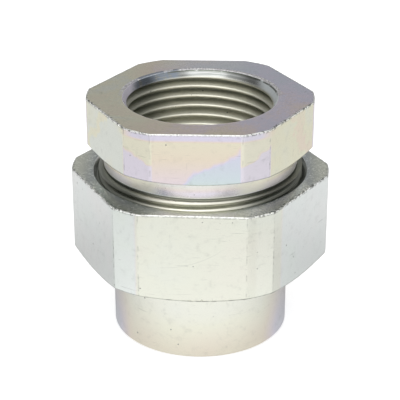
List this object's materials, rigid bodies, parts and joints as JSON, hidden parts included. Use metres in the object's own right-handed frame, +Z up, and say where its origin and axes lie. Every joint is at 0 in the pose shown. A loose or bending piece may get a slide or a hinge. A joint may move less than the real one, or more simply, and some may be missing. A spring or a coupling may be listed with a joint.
{
  "type": "conduit union",
  "caption": "Straight union for rigid metal conduit: a hexagonal hub screwed into a captive hexagonal union nut that clamps it to a round hub, with a threaded socket at each end.",
  "frame": {"origin": "centre of the round hub's foot, on the common axis", "axes": "+Z up along the common axis, out of the hexagonal hub's conduit socket; -Y square to one flat of the hexagonal hub"},
  "size_m": [0.054, 0.05, 0.0516],
  "materials": {
    "zinc_plate": "turned steel, zinc plated, with a pale iridescent passivation film in cream, lilac and green"
  },
  "bodies": {
    "round_hub": {"round_hub": "zinc_plate"},
    "union_nut": {"union_nut": "zinc_plate"},
    "hex_hub": {"hex_hub": "zinc_plate"}
  },
  "joints": [
    {"name": "nut_turn", "type": "hinge", "parent": "round_hub", "child": "union_nut", "pos_m": [0, 0, 0.022], "axis": [0, 0, -1], "range_deg": [0, 1440]},
    {"name": "hub_lift", "type": "slide", "parent": "round_hub", "child": "hex_hub", "axis": [0, 0, 1], "range_m": [0, 0.00635]}
  ],
  "couplings": [
    {"joint": "nut_turn", "follows": "hub_lift", "rad_per_m": 3957.9}
  ]
}
